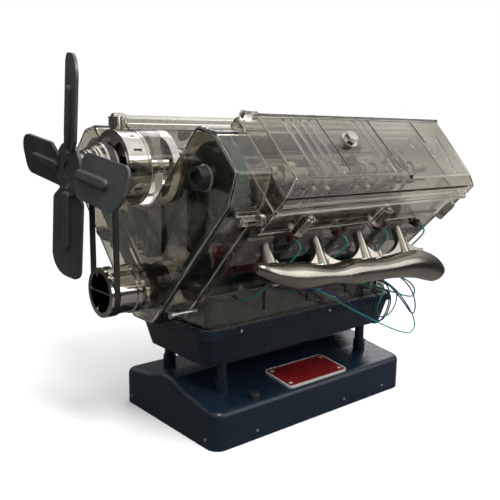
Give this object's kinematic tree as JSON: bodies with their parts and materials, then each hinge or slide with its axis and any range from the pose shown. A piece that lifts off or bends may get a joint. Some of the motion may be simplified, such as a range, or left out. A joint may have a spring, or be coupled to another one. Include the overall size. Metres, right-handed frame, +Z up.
{
  "type": "four stroke engine model",
  "caption": "See-through V engine model with moving crank, pistons, camshafts and a belt-driven fan on a stand.",
  "frame": {"origin": "centre of the stand's underside", "axes": "+Z up, crank axis along Y, fan at -Y, +X right bank"},
  "size_m": [0.2332, 0.2813, 0.2598],
  "materials": {
    "smoky_clear": "see-through smoky grey-brown, polished",
    "smoky_dark": "see-through smoke, darker, polished",
    "clear_liner": "clear, polished",
    "navy_plastic": "satin moulded",
    "black_plastic": "satin moulded",
    "fan_plastic": "matte moulded",
    "plate_red": "glossy red with a bright border",
    "chrome": "polished plating",
    "satin_metal": "soft satin plating",
    "steel": "bright",
    "grey_plastic": "moulded, silver grey",
    "rod_plastic": "moulded, dark grey",
    "plug_red": "dark red, clear",
    "belt_green": "toothed, dark green",
    "belt_black": "smooth",
    "board": "circuit board and cells",
    "wire_teal": "insulated wire",
    "wire_blue": "insulated wire"
  },
  "bodies": {
    "engine": {"valve_cover_right": "smoky_clear", "valve_cover_left": "smoky_clear", "timing_cover": "smoky_clear", "water_pump": "smoky_clear", "intake_manifold": "smoky_clear", "rear_cover": "smoky_clear", "crankcase_lower": "smoky_dark", "engine_block": "smoky_dark", "cylinder_head_right": "smoky_dark", "cylinder_head_left": "smoky_dark", "cylinder_liners": "clear_liner", "base_shell": "navy_plastic", "base_bottom_cover": "navy_plastic", "stand_posts": "navy_plastic", "oil_pan": "navy_plastic", "name_plate": "plate_red", "alternator_drum": "chrome", "filler_caps": "chrome", "exhaust_manifold_right": "satin_metal", "exhaust_manifold_left": "satin_metal", "screws": "steel", "drive_motor": "steel", "spark_plugs": "plug_red", "timing_belt": "belt_green", "fan_belt": "belt_black", "electronics": "board", "wire_teal": "wire_teal", "wire_loop": "wire_teal", "ignition_leads": "wire_teal", "wire_blue": "wire_blue"},
    "crank": {"crankshaft": "grey_plastic", "crank_pulley": "chrome", "crank_timing_pulley": "black_plastic", "crank_gear": "black_plastic"},
    "fan_drive": {"fan": "fan_plastic", "fan_pulley": "chrome"},
    "cam_right": {"camshaft_right": "grey_plastic", "cam_pulley_right": "black_plastic"},
    "cam_left": {"camshaft_left": "grey_plastic", "cam_pulley_left": "black_plastic"},
    "pinion": {"motor_pinion": "black_plastic"},
    "valve_set_right": {"valves_right": "steel"},
    "valve_set_left": {"valves_left": "steel"},
    "button": {"start_button": "black_plastic"},
    "piston_body_1": {"piston_1": "grey_plastic"},
    "rod_body_1": {"connecting_rod_1": "rod_plastic"},
    "piston_body_2": {"piston_2": "grey_plastic"},
    "rod_body_2": {"connecting_rod_2": "rod_plastic"},
    "piston_body_3": {"piston_3": "grey_plastic"},
    "rod_body_3": {"connecting_rod_3": "rod_plastic"},
    "piston_body_4": {"piston_4": "grey_plastic"},
    "rod_body_4": {"connecting_rod_4": "rod_plastic"},
    "piston_body_5": {"piston_5": "grey_plastic"},
    "rod_body_5": {"connecting_rod_5": "rod_plastic"},
    "piston_body_6": {"piston_6": "grey_plastic"},
    "rod_body_6": {"connecting_rod_6": "rod_plastic"},
    "piston_body_7": {"piston_7": "grey_plastic"},
    "rod_body_7": {"connecting_rod_7": "rod_plastic"},
    "piston_body_8": {"piston_8": "grey_plastic"},
    "rod_body_8": {"connecting_rod_8": "rod_plastic"}
  },
  "joints": [
    {"name": "crank_spin", "type": "hinge", "parent": "engine", "child": "crank", "pos_m": [0, 0, 0.1075], "axis": [0, 1, 0], "continuous": true},
    {"name": "fan_spin", "type": "hinge", "parent": "engine", "child": "fan_drive", "pos_m": [0, -0.15, 0.1893], "axis": [0, 1, 0], "continuous": true},
    {"name": "pinion_spin", "type": "hinge", "parent": "engine", "child": "pinion", "pos_m": [0, 0.09, 0.0688], "axis": [0, 1, 0], "continuous": true},
    {"name": "button_press", "type": "slide", "parent": "engine", "child": "button", "axis": [0, 0, 1], "range_m": [-0.0015, 0], "stiffness_N_per_m": 150, "springref_m": 0.0005},
    {"name": "cam_right_spin", "type": "hinge", "parent": "engine", "child": "cam_right", "pos_m": [0.07212, 0, 0.1867], "axis": [0, 1, 0], "continuous": true},
    {"name": "valves_right_lift", "type": "slide", "parent": "engine", "child": "valve_set_right", "axis": [0.7071, 0, 0.7071], "range_m": [-0.0025, 0], "stiffness_N_per_m": 60, "springref_m": 0.001},
    {"name": "cam_left_spin", "type": "hinge", "parent": "engine", "child": "cam_left", "pos_m": [-0.07212, 0, 0.1867], "axis": [0, 1, 0], "continuous": true},
    {"name": "valves_left_lift", "type": "slide", "parent": "engine", "child": "valve_set_left", "axis": [-0.7071, 0, 0.7071], "range_m": [-0.0025, 0], "stiffness_N_per_m": 60, "springref_m": 0.001},
    {"name": "piston_1_slide", "type": "slide", "parent": "engine", "child": "piston_body_1", "axis": [0.7071, 0, 0.7071], "range_m": [-0.0226, 0.0014]},
    {"name": "rod_1_swing", "type": "hinge", "parent": "piston_body_1", "child": "rod_body_1", "pos_m": [0.04002, -0.058, 0.14752], "axis": [0, 1, 0], "range_deg": [-21.45, 8.79]},
    {"name": "piston_2_slide", "type": "slide", "parent": "engine", "child": "piston_body_2", "axis": [0.7071, 0, 0.7071], "range_m": [-0.01577, 0.00823]},
    {"name": "rod_2_swing", "type": "hinge", "parent": "piston_body_2", "child": "rod_body_2", "pos_m": [0.03519, -0.014, 0.14269], "axis": [0, 1, 0], "range_deg": [-1.45, 28.8]},
    {"name": "piston_3_slide", "type": "slide", "parent": "engine", "child": "piston_body_3", "axis": [0.7071, 0, 0.7071], "range_m": [-0.00562, 0.01838]},
    {"name": "rod_3_swing", "type": "hinge", "parent": "piston_body_3", "child": "rod_body_3", "pos_m": [0.02802, 0.03, 0.13552], "axis": [0, 1, 0], "range_deg": [-28.8, 1.45]},
    {"name": "piston_4_slide", "type": "slide", "parent": "engine", "child": "piston_body_4", "axis": [0.7071, 0, 0.7071], "range_m": [-0.00084, 0.02316]},
    {"name": "rod_4_swing", "type": "hinge", "parent": "piston_body_4", "child": "rod_body_4", "pos_m": [0.02464, 0.074, 0.13214], "axis": [0, 1, 0], "range_deg": [-8.79, 21.45]},
    {"name": "piston_5_slide", "type": "slide", "parent": "engine", "child": "piston_body_5", "axis": [-0.7071, 0, 0.7071], "range_m": [-0.01577, 0.00823]},
    {"name": "rod_5_swing", "type": "hinge", "parent": "piston_body_5", "child": "rod_body_5", "pos_m": [-0.03519, -0.066, 0.14269], "axis": [0, 1, 0], "range_deg": [-1.45, 28.8]},
    {"name": "piston_6_slide", "type": "slide", "parent": "engine", "child": "piston_body_6", "axis": [-0.7071, 0, 0.7071], "range_m": [-0.00084, 0.02316]},
    {"name": "rod_6_swing", "type": "hinge", "parent": "piston_body_6", "child": "rod_body_6", "pos_m": [-0.02464, -0.022, 0.13214], "axis": [0, 1, 0], "range_deg": [-8.79, 21.45]},
    {"name": "piston_7_slide", "type": "slide", "parent": "engine", "child": "piston_body_7", "axis": [-0.7071, 0, 0.7071], "range_m": [-0.0226, 0.0014]},
    {"name": "rod_7_swing", "type": "hinge", "parent": "piston_body_7", "child": "rod_body_7", "pos_m": [-0.04002, 0.022, 0.14752], "axis": [0, 1, 0], "range_deg": [-21.45, 8.79]},
    {"name": "piston_8_slide", "type": "slide", "parent": "engine", "child": "piston_body_8", "axis": [-0.7071, 0, 0.7071], "range_m": [-0.00562, 0.01838]},
    {"name": "rod_8_swing", "type": "hinge", "parent": "piston_body_8", "child": "rod_body_8", "pos_m": [-0.02802, 0.066, 0.13552], "axis": [0, 1, 0], "range_deg": [-28.8, 1.45]}
  ],
  "couplings": [
    {"joint": "fan_spin", "follows": "crank_spin", "ratio": 1},
    {"joint": "cam_right_spin", "follows": "crank_spin", "ratio": 0.5},
    {"joint": "cam_left_spin", "follows": "crank_spin", "ratio": 0.5},
    {"joint": "pinion_spin", "follows": "crank_spin", "ratio": -6.1667}
  ]
}
